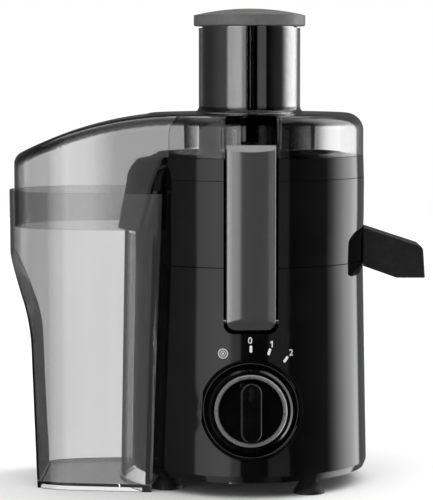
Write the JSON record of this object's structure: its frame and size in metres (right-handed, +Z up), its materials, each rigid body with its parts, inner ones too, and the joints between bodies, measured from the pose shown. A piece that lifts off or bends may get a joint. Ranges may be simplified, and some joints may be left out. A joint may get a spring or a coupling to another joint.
{
  "type": "centrifugal juicer",
  "caption": "Upright centrifugal juicer with a round motor base, smoked lid and wide feed tube, pusher, locking arms, side pulp container, pour spout and speed dial.",
  "frame": {"origin": "middle of the whole footprint, on the counter that the suction feet stand on; the drive axis stands at x = 25.55 mm, y = 3.7 mm", "axes": "+Z up along the drive axis, +X towards the juice spout and away from the pulp container, -Y towards the speed dial"},
  "size_m": [0.3242, 0.2034, 0.3686],
  "materials": {
    "gloss_black": "moulded high gloss black",
    "arm_grey": "satin gloss grey",
    "satin_black": "fine satin black",
    "trim_grey": "satin grey",
    "smoked_clear": "smoked clear plastic",
    "dark_chrome": "tinted mirror plate",
    "cap_grey": "fine matt grey",
    "spout_black": "fine matt black",
    "rubber_black": "soft black rubber",
    "sieve_steel": "etched stainless",
    "zinc_steel": "zinc plated",
    "lamination": "stacked laminations",
    "copper": "enamelled copper",
    "bright_steel": "ground",
    "alloy": "cast",
    "carbon": "carbon",
    "board_green": "lacquered",
    "inner_grey": "moulded"
  },
  "bodies": {
    "base": {"motor_housing": "gloss_black", "housing_deck": "satin_black", "base_plate": "satin_black", "base_screws": "zinc_steel", "shaft_seal": "rubber_black", "cord_gland": "rubber_black", "interlock_switches": "inner_grey", "motor_stator": "lamination", "stator_coils": "copper", "upper_motor_bracket": "alloy", "lower_motor_bracket": "alloy", "upper_bearing": "bright_steel", "lower_bearing": "bright_steel", "motor_bolts": "zinc_steel", "rubber_mounts": "rubber_black", "carbon_brushes": "carbon", "speed_switch": "inner_grey", "control_board": "board_green", "arm_pin_front": "bright_steel", "arm_pin_rear": "bright_steel", "suction_foot_1": "rubber_black", "suction_foot_2": "rubber_black", "suction_foot_3": "rubber_black", "suction_foot_4": "rubber_black"},
    "rotor": {"motor_shaft": "bright_steel", "armature_core": "lamination", "armature_windings": "copper", "commutator": "copper", "cooling_fan": "inner_grey", "drive_coupling": "inner_grey"},
    "dial": {"speed_knob": "gloss_black", "knob_trim_ring": "trim_grey", "knob_pointer": "satin_black", "knob_spindle": "inner_grey"},
    "front_arm": {"locking_arm_front": "arm_grey"},
    "rear_arm": {"locking_arm_rear": "arm_grey"},
    "bowl": {"juice_bowl": "gloss_black", "bowl_seal": "rubber_black", "pulp_guide_ring": "gloss_black"},
    "sieve": {"sieve_basket": "sieve_steel", "sieve_rim": "satin_black", "grating_disc": "sieve_steel", "sieve_hub": "satin_black"},
    "spout": {"juice_spout": "spout_black"},
    "lid": {"lid": "smoked_clear"},
    "pusher": {"pusher_sleeve": "dark_chrome", "pusher_cap": "cap_grey"},
    "container": {"pulp_container": "smoked_clear"}
  },
  "joints": [
    {"name": "rotor_spin", "type": "hinge", "parent": "base", "child": "rotor", "pos_m": [0.02555, 0.0037, 0.104], "axis": [0, 0, 1], "continuous": true},
    {"name": "sieve_spin", "type": "hinge", "parent": "bowl", "child": "sieve", "pos_m": [0.02555, 0.0037, 0.204], "axis": [0, 0, 1], "continuous": true},
    {"name": "dial_turn", "type": "hinge", "parent": "base", "child": "dial", "pos_m": [0.02555, -0.0843, 0.067], "axis": [0, 1, 0], "range_deg": [-25, 35]},
    {"name": "front_arm_swing", "type": "hinge", "parent": "base", "child": "front_arm", "pos_m": [0.02555, -0.0795, 0.133], "axis": [1, 0, 0], "range_deg": [0, 50]},
    {"name": "rear_arm_swing", "type": "hinge", "parent": "base", "child": "rear_arm", "pos_m": [0.02555, 0.0869, 0.133], "axis": [-1, 0, 0], "range_deg": [0, 50]},
    {"name": "bowl_lift", "type": "slide", "parent": "base", "child": "bowl", "axis": [0, 0, 1], "range_m": [0, 0.1]},
    {"name": "lid_lift", "type": "slide", "parent": "bowl", "child": "lid", "axis": [0, 0, 1], "range_m": [0, 0.09]},
    {"name": "pusher_slide", "type": "slide", "parent": "lid", "child": "pusher", "axis": [0, 0, 1], "range_m": [0, 0.13]},
    {"name": "spout_pull", "type": "slide", "parent": "bowl", "child": "spout", "axis": [1, 0, 0], "range_m": [0, 0.03]},
    {"name": "container_pull", "type": "slide", "parent": "base", "child": "container", "axis": [-1, 0, 0], "range_m": [0, 0.12]}
  ],
  "couplings": [
    {"joint": "sieve_spin", "follows": "rotor_spin", "ratio": 1}
  ]
}
